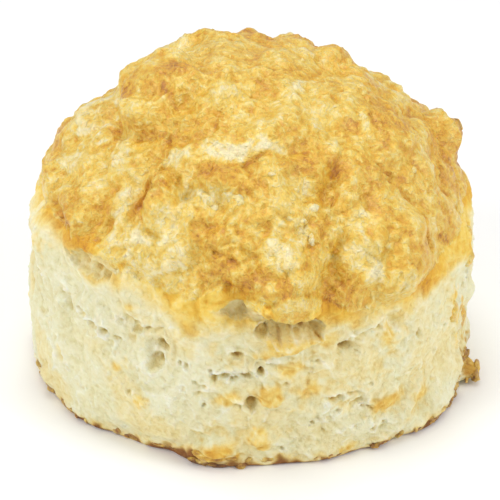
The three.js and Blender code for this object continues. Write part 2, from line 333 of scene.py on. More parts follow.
# Lighter and darker places: azimuth, elevation, half width, half height, change of tone, softness
CRUST_TONES = [
    (-13, 49, 9.0, 2.6, 0.41, 0.9),  # pale valley above the front lobe
    (0, 51, 7.0, 2.2, 0.28, 0.9),
    (-32, 46, 5.0, 2.2, 0.28, 0.9),
    (10, 52, 5.0, 2.0, 0.16, 0.9),
    (0, 61, 5.0, 5.0, 0.12, 0.9),
    (-82, 43, 8.0, 7.0, 0.34, 0.9),  # pale flat on the left
    (-58, 45, 4.5, 3.0, 0.20, 0.9),
    (-71, 32, 4.0, 4.5, 0.20, 0.9),
    (-26, 19, 9.0, 5.0, 0.18, 0.9),  # creamy curds at the lower left
    (-17, 26, 4.5, 4.0, 0.16, 0.9),
    (-36, 23, 5.0, 5.0, 0.22, 0.9),
    (-40, 34, 3.0, 5.0, 0.24, 0.9),  # both sides of the nub
    (-20.5, 39, 2.4, 5.5, 0.26, 0.9),
    (-12, 38, 4.0, 2.0, 0.20, 0.8),  # cream on top of the front lobe
    (14, 35, 4.0, 5.5, 0.18, 0.9),
    (14, 28, 3.0, 3.0, 0.14, 0.9),
    (19, 39.5, 2.2, 3.0, 0.16, 0.9),
    (32, 41, 3.0, 3.0, -0.20, 0.9),
    (34, 38, 3.0, 3.0, 0.14, 0.9),
    (29, 21, 6.0, 4.0, 0.26, 0.9),  # pale shoulder right of the crease
    (35, 14, 6.0, 4.0, 0.14, 0.9),
    (33, 28, 3.0, 3.5, 0.14, 0.9),
    (48, 71, 5.0, 2.0, 0.20, 0.9),  # streaks across the crown
    (85, 84, 4.0, 2.5, 0.16, 0.9),
    (37, 58, 4.0, 3.0, 0.12, 0.9),
    (23, 72, 3.0, 2.4, -0.14, 0.9),
    (-45, 77, 5.0, 3.0, -0.12, 0.9),
    (49, 51, 4.0, 4.0, -0.24, 0.9),
    (62, 50, 6.0, 5.0, -0.20, 0.9),
    (-31, 50.5, 4.5, 1.6, -0.18, 0.8),  # browned foot of the plateau
    (-70, 64, 7.0, 5.0, -0.08, 0.9),
    (-74, 55, 3.0, 3.0, -0.12, 0.9),
    (-61, 26, 3.4, 3.8, -0.02, 0.8),  # browned lobe on the left shoulder
    (-56, 25, 5.0, 3.6, -0.09, 0.9),
    (-43, 27, 3.0, 2.4, -0.12, 0.9),
    (-53, 22.4, 4.6, 1.3, -0.14, 0.8),
    (-30.5, 41.4, 2.8, 1.8, -0.46, 0.8),  # the nub, brown on top and over its body, with painted shade in a strip down its left side
    (-29, 35, 2.8, 4.6, -0.22, 0.8),
    (-34.5, 35, 1.1, 5.4, -0.32, 0.8),
    (-11, 28, 4.4, 3.6, -0.20, 0.9),
    (-14, 28, 0.9, 0.9, -0.30, 0.7),
    (2, 18.5, 6.8, 2.4, -0.30, 0.8),
    (13, 21, 3.8, 2.4, -0.16, 0.8),
    (8, 10.5, 5.0, 1.6, -0.16, 0.8),
    (-17, 9.5, 6.0, 2.6, -0.16, 0.9),
    (0, 41, 6.0, 3.0, -0.08, 0.9),
    (24.0, 32.0, 2.0, 5.0, 0.18, 0.9),  # in the deep crease
    (36.8, 41.5, 2.4, 1.6, -0.10, 0.8),
    (40, 27, 3.2, 5.0, -0.24, 0.8),
    (52, 22, 1.4, 6.0, -0.14, 0.8),
    (63, 16, 3.0, 4.0, -0.22, 0.9),
    (60, 14.5, 1.2, 1.1, -0.30, 0.6),
    (95, 38, 4.0, 4.0, -0.14, 0.9),
    (98, 24, 4.6, 6.0, -0.40, 0.8),
    (70, 27, 3.5, 6.0, -0.10, 0.9),
    (-148, 58, 4.0, 3.0, -0.10, 0.8),
    (147, 57.5, 6.5, 4.0, -0.26, 0.9),
    (-169, 61, 6.0, 4.0, -0.22, 0.9),
    (-10, 43, 5.2, 2.6, -0.30, 0.8),  # amber cap of the front lobe
    (4, 31, 4.0, 2.2, -0.20, 0.9),
    (2.6, 16.8, 4.0, 1.3, -0.22, 0.9),
    (-5.8, 18.4, 2.4, 2.0, 0.16, 0.9),
    (-72, 24, 3.0, 4.0, 0.14, 0.9),
    (-45, 22.4, 3.4, 2.0, 0.24, 0.9),
    (-54, 24.0, 7.0, 4.5, 0.06, 0.9),
    (-30, 26, 3.4, 2.0, 0.22, 0.9),
    (-71, 55, 5.0, 3.0, -0.18, 0.9),
    (-76.5, 31, 2.6, 3.0, -0.12, 0.9),
    (-70, 68, 4.5, 4.0, -0.14, 0.9),
    (68.8, 28.7, 2.0, 6.0, 0.12, 0.9),
    (86, 32, 4.5, 9.0, -0.16, 0.9),
    (55, 36, 4.0, 5.0, -0.12, 0.9),
    (20, 21.8, 1.8, 2.4, 0.20, 0.9),
    (27, 24, 2.4, 6.0, 0.16, 0.9),
    (22, 33, 2.0, 4.0, 0.16, 0.9),
    (-54, 38, 6.0, 5.0, 0.22, 0.9),
    (-16, 52, 8.0, 3.0, 0.08, 0.9),
    (-14, 8.6, 6.0, 2.4, 0.22, 0.9),
    (8, 24.5, 4.0, 2.6, 0.14, 0.8),  # pale top of the curd above the lip
    (10, 12, 4.6, 1.6, 0.08, 0.9),
    (56, 17, 1.8, 4.0, 0.12, 0.9),
    (40, 9, 4.5, 1.6, -0.12, 0.9),
    (46, 5, 3.0, 1.6, -0.10, 0.9),
    (-150, 40, 8.0, 5.0, 0.22, 0.9),  # the back
    (175, 45, 7.0, 3.0, 0.22, 0.9),
    (140, 30, 5.0, 5.0, -0.18, 0.8),
    (165, 22, 6.0, 3.0, -0.22, 0.8),
    (-125, 20, 6.0, 3.0, -0.20, 0.8),
    (110, 45, 6.0, 4.0, 0.16, 0.9),
    (-105, 24, 5.0, 4.0, 0.16, 0.9),
    (-170, 18, 5.0, 2.5, 0.18, 0.9),
    (120, 18, 6.0, 3.0, 0.18, 0.9),
]

# Narrow folds along the feet of the lobes, with painted shade along them: half width, depth and stops
FOLDS = [
    (0.7, 0.8, (26.5, 37), (24.5, 34), (21.2, 28), (22.5, 21.4), (21.2, 16.1), (17.7, 13.1)),
    (1.0, 0.4, (30, 43), (26.5, 37)),
    (1.3, 0.7, (-88, 53), (-72, 50.5), (-59, 48.6), (-48, 49.6), (-40, 50.2), (-28, 50.8)),
    (1.2, 0.5, (-28, 50.6), (-20, 56), (-18, 64)),  # right side of the plateau
    (0.9, 0.5, (-54, 37), (-50, 42), (-45, 47)),
    (1.1, 0.7, (-20, 37), (-12, 43.2), (-4, 46), (5, 47.6), (14, 46.4), (22, 43)),  # over the front lobe
    (0.9, 0.7, (-33.5, 43.5), (-35, 38), (-34, 31), (-30, 27), (-25, 26.4)),  # round the nub
    (0.8, 0.5, (-24, 41.5), (-22, 36), (-20.5, 29.5)),
    (1.0, 0.6, (-68, 28), (-65, 22.4), (-58, 20.6), (-49, 21.4), (-42, 23), (-40, 28)),  # left shoulder
    (0.8, 0.5, (-19, 31), (-12, 30), (-7, 24.5), (-4, 22.2)),  # between the front lobe's curds
    (0.8, 0.5, (-7, 24.5), (2, 24), (9, 25.4), (15, 24)),
    (0.8, 0.5, (-12, 30), (-4, 33), (4, 34), (12, 33.5)),
    (0.8, 0.5, (-4, 22.2), (-7, 18.6), (-6, 15.6)),  # left of the lip
    (0.9, 0.6, (46, 43), (50.7, 34), (52, 26), (50.7, 20), (54, 13)),
    (0.8, 0.5, (27, 31), (33, 33.5), (40, 33), (50.7, 34)),
    (0.9, 0.5, (48, 57), (52, 61), (62, 62), (70, 57)),  # round the bump at the upper right
    (0.9, 0.5, (66, 50), (74, 42), (78, 33), (74, 24)),
    (1.0, 0.6, (-160, 62), (-168, 46), (-171, 28), (-164, 18)),  # the back
    (1.0, 0.6, (150, 54), (151, 38), (147, 24), (154, 16)),
    (1.0, 0.6, (-132, 50), (-130, 37), (-127, 24)),
    (0.9, 0.5, (118, 52), (112, 40), (116, 28), (108, 18)),
    (0.9, 0.5, (-104, 48), (-100, 36), (-106, 26)),
]

# Small knobs that rise from the lobes, painted lighter on top as highlight and with painted shade round
# the foot: azimuth, elevation, half width, half height, rise, softness
KNOBS = [
    (-171, 61, 6.0, 4.0, 0.5, 0.8),  # on the skyline
    (152, 57, 4.6, 3.4, 1.1, 0.7),
    (134, 58, 5.0, 3.4, -1.0, 0.9),
    (59, 67, 3.4, 2.4, 0.5, 0.5),
    (-50, 58, 3.4, 2.6, 0.4, 0.6),
    (-66, 54, 3.0, 2.2, 0.4, 0.6),
    (-60, 26, 3.6, 3.0, 0.8, 0.5),
    (-50, 25.4, 3.0, 2.4, 0.6, 0.5),
    (-30, 40.2, 2.4, 2.2, 0.9, 0.5),
    (-27.4, 33.6, 2.5, 2.8, 0.6, 0.5),
    (-8, 42.6, 5.4, 2.9, 0.8, 0.45),
    (3, 33.6, 3.0, 2.0, 0.45, 0.6),
    (-12, 33.4, 2.6, 2.2, 0.45, 0.6),
    (-9, 26, 2.8, 2.4, 0.5, 0.6),
    (8, 24, 4.8, 3.0, 0.8, 0.5),
    (-1.4, 24.8, 2.2, 2.2, 0.4, 0.6),
    (12.6, 18.4, 3.0, 1.8, 0.5, 0.6),
    (-2.5, 19.4, 2.4, 1.8, 0.4, 0.6),
    (10.4, 11.4, 5.6, 2.7, 1.4, 0.45),  # the lip's balls
    (1.4, 12.2, 1.9, 1.6, 1.1, 0.5),
    (-8.5, 14.4, 2.4, 1.5, 0.4, 0.7),
    (-24, 19, 2.8, 1.8, 0.4, 0.6),
    (-14, 17.5, 2.2, 1.6, 0.4, 0.6),
    (-31, 20, 2.2, 1.8, 0.35, 0.6),
    (-19, 14, 3.0, 1.4, 0.35, 0.7),
    (34, 24, 3.4, 2.6, 0.4, 0.6),
    (30, 16, 3.0, 1.8, 0.3, 0.7),
    (44, 33, 3.0, 2.6, 0.4, 0.6),
    (45, 16, 3.2, 2.2, 0.35, 0.6),
    (99, 26, 2.6, 2.6, 0.5, 0.6),
    (-152, 34, 3.6, 3.0, 0.5, 0.6),
    (-140, 20, 3.2, 2.6, 0.45, 0.6),
    (176, 30, 3.4, 3.0, 0.5, 0.6),
    (158, 20, 3.4, 2.0, 0.4, 0.6),
    (128, 26, 3.2, 2.6, 0.45, 0.6),
    (110, 38, 3.2, 2.4, 0.4, 0.6),
]

# Holes torn in the wall, in the columns of the lobes, with a depth; their floors get painted shade
HOLES = [
    (-21.5, -0.6, 1.5, 1.1, 1.0, 0.5),
    (-23.5, -5.6, 1.7, 1.5, 0.9, 0.6),
    (-28.8, 1.5, 1.0, 0.7, 0.6, 0.6),
    (-51.8, 0.6, 0.8, 2.4, 0.8, 0.7),
    (-55.0, -14.8, 1.2, 2.4, 0.5, 0.9),
    (-45.5, 0.8, 0.9, 0.7, 0.5, 0.7),
    (-41.8, -0.8, 1.2, 0.6, 0.6, 0.6),
    (-38.8, -1.6, 1.0, 0.7, 0.7, 0.6),
    (-35.0, -2.2, 1.2, 0.5, 0.6, 0.6),
    (-46.0, 15.6, 1.7, 1.0, 0.8, 0.7),
    (-41.8, 14.8, 1.3, 0.9, 0.8, 0.7),
    (-37.0, 13.4, 1.4, 0.9, 0.7, 0.7),
    (-3.3, -0.9, 1.6, 0.6, 0.6, 0.6),
    (-15.2, -4.6, 0.6, 0.7, 0.6, 0.7),
    (-8.8, -7.6, 0.8, 1.0, 0.8, 0.6),
    (-6.0, -6.9, 1.1, 0.5, 0.6, 0.6),
    (-4.0, -7.6, 0.9, 0.6, 0.7, 0.6),
    (-0.8, -6.6, 1.3, 0.5, 0.6, 0.6),
    (2.4, -4.8, 0.8, 1.5, 0.7, 0.6),
    (0.2, -13.8, 1.5, 1.2, 0.9, 0.6),
    (23.8, -1.4, 1.6, 0.9, 0.9, 0.6),
    (26.2, -2.8, 0.8, 0.5, 0.6, 0.6),
    (45.0, -4.4, 0.8, 1.0, 0.8, 0.6),
    (37.2, 2.4, 1.0, 1.8, 0.6, 0.8),
    (21.0, -14.0, 2.0, 0.6, 0.7, 0.6),
    (26.5, -17.2, 1.8, 0.9, 0.7, 0.7),
    (19.3, -19.2, 0.8, 0.8, 0.4, 0.7),
    (-30.5, -15.3, 0.6, 0.6, 0.4, 0.7),
    (-12.2, -11.7, 1.8, 0.8, 0.5, 0.9),
    (-66.0, 3.0, 1.0, 1.2, 0.6, 0.8),
    (2.8, 4.6, 1.1, 1.0, 0.9, 0.4),  # pits round the front pocket's floor
    (18.2, 6.8, 1.0, 0.9, 0.6, 0.4),
    (16.4, 4.6, 1.3, 0.9, 0.5, 0.4),
    (11.4, 3.8, 0.6, 0.5, 0.4, 0.6),
]

# Brown specks and cracks in the pocket and on the wall, with a share of char in place of the depth
SPECKS = [
    (15.6, 7.4, 1.0, 0.6, 0.75, 0.6),
    (14.2, 6.4, 0.8, 0.7, 0.70, 0.6),
    (12.8, 5.2, 0.8, 0.5, 0.70, 0.6),
    (10.0, 4.6, 0.5, 0.5, 0.55, 0.7),
    (7.0, 3.6, 0.5, 0.9, 0.50, 0.7),
    (5.4, 6.6, 0.4, 0.5, 0.40, 0.7),
    (-1.0, 11.2, 0.6, 0.4, 0.45, 0.7),
    (2.4, 9.8, 0.5, 0.3, 0.35, 0.7),
    (3.6, 11.6, 0.8, 0.4, 0.45, 0.7),
    (22.6, -1.2, 0.5, 0.5, 0.50, 0.7),
    (-3.6, -0.6, 0.8, 0.3, 0.40, 0.7),
    (-24.2, -4.8, 0.6, 0.6, 0.35, 0.8),
    (-20.6, 0.0, 0.6, 0.4, 0.35, 0.8),
    (70.0, -25.0, 3.0, 3.4, 0.45, 0.8),
    (64.0, -29.0, 3.4, 1.4, 0.60, 0.9),
    (82.0, -24.5, 2.6, 2.0, 0.30, 0.9),
    (-68.0, -26.6, 2.0, 1.6, 0.50, 0.9),
    (-9.0, -28.6, 4.0, 1.0, 0.55, 0.9),
]

# Seeded holes finish the far sides as the front is finished, and pinholes go all round
FAR_HOLES = 95
PINHOLES = 110
HOLE_SEED = 7

# Patches of melted cheese on the wall, with how far they stand out
WALL_CHEESE = [
    (-33.8, -9.5, 1.4, 1.1, 0.2, 0.8),
    (-27.3, -16.7, 2.2, 1.9, 0.35, 0.6),
    (-5.2, -12.6, 3.2, 1.7, 0.3, 0.7),
    (4.6, -11.6, 2.7, 2.6, 0.5, 0.5),
    (9.5, -5.5, 4.4, 2.6, 0.15, 1.0),
    (14.2, -10.8, 3.4, 2.8, 0.2, 1.0),
    (8.8, 0.9, 6.4, 1.4, 0.9, 0.5),
    (18.6, 1.8, 3.2, 3.0, 0.2, 1.0),
    (-5.5, 7.4, 2.8, 2.0, 0.5, 0.8),
    (-14.0, 4.6, 4.6, 1.8, 0.2, 1.0),
    (35.0, -1.2, 1.9, 3.6, 0.3, 0.7),
    (35.0, -19.3, 4.2, 1.7, 0.4, 0.6),
    (2.4, -22.4, 2.2, 3.0, 0.5, 0.5),
    (-7.5, -25.4, 4.6, 1.6, 0.4, 0.6),
    (24.0, -28.2, 3.4, 1.4, 0.3, 0.8),
    (46.0, -22.0, 5.0, 3.0, 0.15, 1.0),
    (-66.5, 11.0, 1.9, 2.2, 0.3, 0.7),
    (-30.5, 7.0, 2.4, 1.2, 0.2, 0.9),
    (63.0, -3.4, 2.0, 3.0, 0.4, 0.7),
    (66.0, -10.5, 1.8, 2.0, 0.3, 0.8),
    (66.0, -16.0, 2.0, 2.4, 0.4, 0.7),
    (96.0, -14.0, 2.6, 2.0, 0.4, 0.7),
    (118.0, -4.0, 3.6, 2.0, 0.4, 0.7),
    (133.0, -19.0, 2.4, 2.4, 0.5, 0.6),
    (157.0, -1.0, 5.0, 2.0, 0.6, 0.7),
    (176.0, -20.0, 3.0, 1.8, 0.4, 0.7),
    (-158.0, -6.0, 2.2, 2.8, 0.4, 0.7),
    (-138.0, -18.0, 3.4, 1.6, 0.4, 0.7),
    (-118.0, -2.0, 3.0, 2.2, 0.4, 0.7),
    (-92.0, -17.0, 2.0, 2.2, 0.3, 0.7),
]

# Painted shade and yellower places on the wall, with a change of tone in place of the rise, then the gold
WALL_SHADE_AND_TINTS = [
    (15, -8.0, 9.0, 7.0, -0.02, 1.0, 0.40),
    (2, -12.5, 5.0, 4.0, -0.08, 1.0, 0.45),
    (45, -20, 8.0, 5.0, -0.03, 1.0, 0.38),
    (-2, -22, 9.0, 4.0, -0.03, 1.0, 0.38),
    (36, -1, 4.0, 5.0, -0.04, 1.0, 0.50),
    (74, -26, 6.0, 4.5, -0.30, 0.9, 0.95),
    (28, -9, 9.0, 6.0, -0.02, 1.0, 0.40),
    (22, -15.5, 2.8, 1.7, -0.28, 0.8, 0.35),
    (23.8, -17.8, 3.0, 1.6, -0.14, 0.9, 0.40),
    (34.5, -19.6, 4.6, 2.0, -0.16, 0.9, 0.60),
    (14.5, 0.4, 4.0, 1.2, -0.12, 0.9, 0.50),
    (8.4, 2.6, 5.2, 1.5, -0.02, 0.7, 1.00),
    (-63.5, 12.6, 3.0, 3.0, -0.08, 0.9, 0.45),
    (-44, 17.4, 4.0, 1.6, -0.16, 0.9, 0.30),
    (-7, -25.6, 5.0, 1.6, -0.24, 0.9, 0.90),
    (-2, -2.0, 6.0, 3.0, -0.04, 1.0, 0.30),
    (3.4, -10.6, 3.2, 1.2, -0.22, 0.8, 0.50),
    (-4.5, -2.4, 3.0, 1.4, -0.14, 1.0, 0.10),
    (-29.5, 0, 2.6, 1.6, -0.12, 1.0, 0.15),
    (-8, -8.5, 2.6, 1.4, -0.14, 1.0, 0.25),
    (-32, -7.8, 2.4, 1.6, -0.10, 1.0, 0.30),
    (-15, 1.0, 8.0, 3.0, 0.00, 1.0, 0.40),
    (60, 0, 6.0, 8.0, -0.04, 1.0, 0.35),
    (-42, 15, 6.5, 3.0, -0.12, 1.0, 0.10),
    (-70, 6, 5.0, 6.0, 0.04, 1.0, 0.20),
    (100, -5, 8.0, 5.0, -0.04, 1.0, 0.35),
    (140, -16, 7.0, 5.0, -0.04, 1.0, 0.40),
    (175, -8, 8.0, 5.0, -0.04, 1.0, 0.40),
    (-150, -20, 7.0, 4.0, -0.04, 1.0, 0.35),
    (-115, -8, 7.0, 5.0, -0.04, 1.0, 0.35),
]

# Spacing in millimetres of the crust's curds, crumbs and clumps, and of the wall's pores
CURD_SPACING, CRUMB_SPACING, CLUMP_SPACING = 3.4, 1.8, 7.5
PORE_SPACING = 1.5
CRUST_TONE, WALL_TONE = 0.365, 0.62  # before noise and the places above lighten or darken them
TONE_GAIN = 1.35  # how strongly the crust takes the changes of tone above
COLLAR = 0.4  # how far a hole's raised collar reaches past it
TORN_DEPTH = 1.0  # how much deeper the opened hollows are torn
BROWN_BAND = 1.3  # height of the band at the foot that the tray browned

# Torn seams across the wall, whose upper side overhangs, with painted highlight on it and painted shadow
# under it: half width, depth and stops
TEARS = [
    (0.6, 0.6, (-57, 6), (-52, 2), (-45, -0.4), (-38, -1.8), (-32, -2.6)),
    (0.5, 0.5, (-32, 4.4), (-27, 2.8), (-22, 3.2)),
    (0.5, 0.5, (-14, -8.6), (-9, -6.6), (-3, -6.0), (2, -5.2), (4.5, -2.4)),
    (0.5, 0.4, (4.5, -2.4), (10, -4.4), (16, -5.2)),
    (0.5, 0.4, (18, -13.6), (24, -13.2), (28, -15.6), (31, -19.5)),
    (0.5, 0.4, (-22, -12), (-16, -8), (-12, -9.5)),
    (0.5, 0.4, (27, 0.6), (33, 3.2), (38, 4.6)),
    (0.5, 0.4, (3, -8), (4.5, -14), (3.5, -19)),
    (0.5, 0.4, (-9, -10), (-2, -14.5), (-1, -18)),
    (0.6, 0.6, (70, -2), (84, 1), (99, -3)),
    (0.6, 0.6, (108, -12), (125, -8), (143, -11)),
    (0.6, 0.6, (160, -4), (176, -7), (192, -3)),
    (0.6, 0.6, (-150, -16), (-134, -12), (-118, -14)),
    (0.6, 0.6, (-112, 3), (-98, -2), (-84, -6)),
]


def cells(point, size):
    """Distance to the nearest of a scatter of seeds, one near the middle of each lattice cell, as a
    share of the cell's size, and that seed's own number from -1 to 1."""
    scaled = point / size
    corner = np.floor(scaled - 0.5)
    near, tag = np.full(len(point), 9.0), np.zeros(len(point))
    for step in itertools.product((0, 1), repeat=3):
        cell = corner + step
        i, j, k = lattice(cell)
        stray = np.stack([corner_slope(i, j, k, axis) for axis in (3, 4, 5)], -1)
        distance = np.linalg.norm(scaled - cell - 0.5 - 0.36 * stray, axis=1)
        closer = distance < near
        tag = np.where(closer, corner_slope(i, j, k, 6), tag)
        near = np.where(closer, distance, near)
    return near, tag


def stirred(point, wavelength, reach):
    """Points carried off by noise, so that a pattern on them swirls instead of lying in rows."""
    shifts = ((0, 0, 0), (31, 17, 5), (7, 59, 23))
    return point + reach * np.stack([noise(point + shift, wavelength) for shift in shifts], -1)


def line_height(stops, azimuth):
    """Elevation of a line round the scone at an azimuth in degrees, straight between its stops."""
    turns, heights = zip(*stops)
    return np.interp(azimuth, turns, heights, period=360)


def crust_edge(azimuth):
    """How far down the meridian the crust's ragged edge lies, at an azimuth in radians."""
    ring = BELLY_RADIUS * np.stack([np.sin(azimuth), -np.cos(azimuth), np.zeros_like(azimuth)], -1)
    ragged = 0.5 * noise(ring, 3.2) + 0.35 * noise(ring, 1.4)
    return walk_to(line_height(CRUST_EDGE, np.degrees(azimuth))) + ragged


def bearings(point):
    """Azimuth and elevation, in degrees, at which a point is seen from the middle."""
    azimuth = np.degrees(np.arctan2(point[:, 0], -point[:, 1]))
    elevation = np.arctan2(point[:, 2] - SIGHT_HEIGHT, np.hypot(point[:, 0], point[:, 1]))
    return azimuth, np.degrees(elevation)


def gold_share(point):
    """How golden the dough is baked, from 0 on the wall to 1 on the crust, across a wandering edge."""
    azimuth, elevation = bearings(point)
    above = elevation - line_height(GOLD_EDGE, azimuth) + 2.0 * noise(point, 7) + 1.5 * noise(point, 2.6)
    return smooth((above + 3.5) / 9)


def seeded_holes():
    """Places and sizes of the holes that aren't listed, drawn from a fixed seed."""
    draw = np.random.default_rng(HOLE_SEED)
    far = np.stack([
        draw.uniform(66, 290, FAR_HOLES),
        draw.uniform(-27, 5, FAR_HOLES),
        draw.uniform(0.5, 1.9, FAR_HOLES) * draw.uniform(0.6, 1, FAR_HOLES),
        draw.uniform(0.5, 1.3, FAR_HOLES),
        draw.uniform(0.6, 1.3, FAR_HOLES),
        draw.uniform(0.5, 0.8, FAR_HOLES),
    ], -1)
    pins = np.stack([
        draw.uniform(-180, 180, PINHOLES),
        draw.uniform(-27, 4, PINHOLES),
        draw.uniform(0.35, 0.6, PINHOLES),
        draw.uniform(0.35, 0.6, PINHOLES),
        draw.uniform(0.3, 0.6, PINHOLES),
        draw.uniform(0.7, 0.9, PINHOLES),
    ], -1)
    return [tuple(row) for row in np.concatenate([far, pins])]


def dome(distance):
    """Height of a soft knob that stands in each cell, (1 - (x / 0.7)^2)^1.5."""
    return np.clip(1 - (distance / 0.7) ** 2, 0, 1) ** 1.5


def crust_surface(point):
    """The crust's fine relief in millimetres, and its tone. Curds are soft knobs, and wrinkles are
    ridges where noise crosses nought. The tone rises and falls with the relief, partly the crust's own
    mottling and partly painted highlight on the tops and painted shade in the creases."""
    swirl = stirred(stirred(point, 4.6, 1.2), 1.9, 0.35)
    big, big_tag = cells(swirl, CURD_SPACING)
    small, small_tag = cells(swirl + 40, CRUMB_SPACING)
    clump, _ = cells(swirl + 60, CLUMP_SPACING)
    curd = dome(big) * smooth(0.7 + big_tag)
    crumbs = dome(small) * smooth(0.8 + small_tag)
    skin, grain, dust = noise(swirl, 4.8), noise(swirl, 1.6), noise(swirl, 0.8)
    wrinkle = smooth(1 - 2.2 * np.abs(noise(swirl * (1, 1, 0.7), 2.9)))
    knobbly = smooth(0.6 + 1.3 * noise(point, 11))
    melted = 1 - knobbly
    relief = 0.22 * skin + 0.14 * grain + 0.08 * dust + 0.45 * dome(clump) - 0.4
    relief += knobbly * (0.45 * curd + 0.34 * crumbs) + melted * (0.22 * wrinkle + 0.16 * crumbs)
    # The tone takes the same skin, grain, dust, clumps, curds and wrinkles as the relief: partly the
    # crust's own mottling, partly painted highlight on what stands up and painted shade in the lows.
    tone = CRUST_TONE + 0.16 * noise(point, 8.5) + 0.13 * skin
    tone += 0.10 * grain + 0.08 * dust + 0.08 * dome(clump)
    tone += knobbly * (0.12 * curd + 0.16 * crumbs - 0.05)
    tone += melted * (0.14 * wrinkle + 0.08 * crumbs - 0.03)
    wander = 0.5 * noise(point, 3.0) + 0.3 * noise(point, 1.2)
    tone += TONE_GAIN * sum(spot[4] * cover(spot, point, wander) for spot in CRUST_TONES)
    for knob in KNOBS:
        held = cover(knob, point, 0.4 * wander)
        relief += knob[4] * held
        # Painted highlight on each knob, and a ring of painted shade round its foot, deeper the higher it
        # rises.
        tone += 0.08 * held - 0.26 * knob[4] * smooth(1 - np.abs(held - 0.25) / 0.25)
    for half_width, depth, *stops in FOLDS:
        near = distance_to_line(stops, point + 0.6 * (swirl - point)) / half_width
        relief -= depth * smooth(1 - near + 0.4 * wander)
        # Painted shade along each fold and in a wider, softer band beside it, deeper the deeper the fold.
        tone -= depth * (0.22 * smooth(1.3 - near + 0.6 * wander) + 0.06 * smooth(1.6 - near / 2.5))
    return relief, np.maximum(tone, 0.12 + 0.4 * tone)


def crumb_surface(point):
    """The wall's fine relief in millimetres, its tone and the gold of its patches: torn strands, open
    pores, holes with a raised collar, seams with an overhanging brow, and patches of cheese. Raised
    strands, collars and brows are painted lighter, partly as highlight; pores, hole floors and the
    seams under the brows are painted darker, as shade."""
    swirl = stirred(stirred(point, 4.2, 0.9), 1.7, 0.3)
    lump, grain, dust = noise(swirl, 3.6), noise(swirl, 1.5), noise(swirl, 0.8)
    strands = np.abs(noise(swirl, 2.9))
    shreds = smooth(1 - 6 * strands) * smooth(0.6 + noise(point, 8))
    open_crumb = smooth(0.2 + noise(point + 50, 7))
    pores, pore_tag = cells(swirl + 90, PORE_SPACING)
    pore = smooth(1 - 2 * pores) * (pore_tag > 0) * open_crumb
    relief = 0.26 * lump + 0.14 * grain + 0.08 * dust + 0.20 * shreds - 0.30 * pore
    # The tone follows the relief: partly the wall's own mottling, partly painted highlight on raised
    # strands and painted shade in the pores.
    tone = WALL_TONE + 0.06 * noise(point + 20, 9) + 0.08 * lump
    tone += 0.09 * grain + 0.09 * dust + 0.24 * shreds - 0.20 * pore
    patches = 0.30 * smooth(0.5 + 1.6 * noise(point + 70, 8))
    wander = 0.5 * noise(point, 1.6) + 0.3 * noise(point, 0.8)
    for tint in WALL_SHADE_AND_TINTS:
        held = cover(tint, point, wander)
        tone += tint[4] * held
        patches = np.maximum(patches, tint[6] * held)
    for hole in [*HOLES, *seeded_holes()]:
        floor = cover(hole, point, 0.6 * wander)
        wider = (*hole[:2], hole[2] + COLLAR, hole[3] + COLLAR, 0, 0.4)
        collar = cover(wider, point, wander) * (1 - floor)
        # Painted shade on each hole's floor, darker the deeper it is and more ochre, and painted highlight
        # on its raised collar.
        relief += -hole[4] * floor + 0.14 * collar
        tone += -(0.10 + 0.20 * hole[4]) * floor + 0.22 * collar
        patches += (0.32 - patches) * 0.7 * floor
    for half_width, depth, *stops in TEARS:
        near = distance_to_line(stops, point + 0.5 * (swirl - point)) / half_width
        raised = [(azimuth, elevation + 1.7 * half_width) for azimuth, elevation in stops]
        above = distance_to_line(raised, point + 0.5 * (swirl - point)) / half_width
        broken = smooth(0.7 + 1.5 * noise(point, 3.3))
        inside = smooth(1.2 - near + wander) * broken
        brow = smooth(1.1 - above + wander) * broken
        # Painted highlight on the overhanging brow, and painted shadow in the seam under it.
        relief += 0.35 * brow - depth * inside * (1 - brow)
        tone += 0.26 * brow - 0.22 * inside * (1 - brow)
    for patch in WALL_CHEESE:
        held = cover(patch, point, 0.35 * wander, turn=12)
        relief += held * (patch[4] + 0.10 * grain)
        tone += held * (0.12 * dust - 0.04)
        patches = np.maximum(patches, 0.8 * held)
    return relief, tone, patches


def baked_surface(point, opened=1):
    """The dough's fine relief in millimetres, and its marks: gold, tone (dark 0 to light 1) and char.
    It is the crust's where it is baked golden, and the crumb's elsewhere and inside opened hollows."""
    gold = gold_share(point)
    wander = 0.5 * noise(point, 1.6) + 0.3 * noise(point, 0.8)
    held = np.max([cover(hollow, point, 0.3 * wander) for hollow in HOLLOWS + TORN_WIDER], axis=0) * opened
    inside = smooth((held - 0.2) / 0.3)
    collar = smooth(1 - np.abs(held - 0.2) / 0.2)
    gold *= 1 - inside
    crusty = smooth((gold - 0.2) / 0.6)
    relief, tone = (crusty * part for part in crust_surface(point))
    wall_relief, wall_tone, patches = crumb_surface(point)
    relief += (1 - crusty) * wall_relief - TORN_DEPTH * inside
    # Inside an opened hollow the dough is painted a little darker and more ochre, as shade; a ring round
    # its rim is painted lighter.
    tone += (1 - crusty) * (wall_tone - 0.02 * inside) + 0.12 * collar * (1 - inside)
    tone += 0.12 * smooth(4 * gold * (1 - gold)) * (1 - inside)
    gold = np.maximum(gold, np.maximum(patches * (1 - 0.6 * inside), 0.42 * inside))
    height = point[:, 2]
    band = BROWN_BAND + 1.1 * noise(point, 5) + 0.9 * noise(point, 1.8)
    char = smooth((band - height) / 1.0) * smooth(1.2 + 0.8 * noise(point, 13))
    for speck in SPECKS:
        char = np.maximum(char, speck[4] * cover(speck, point, wander))
    relief += char * (0.30 * noise(point, 1.5) + 0.25 * noise(point, 0.8))
    tone -= 0.3 * char
    gold = np.maximum(gold, 0.7 * smooth((band + 1.8 - height) / 2.8))
    return relief, np.clip(gold, 0, 1), np.clip(tone, -0.3, 1.15), char


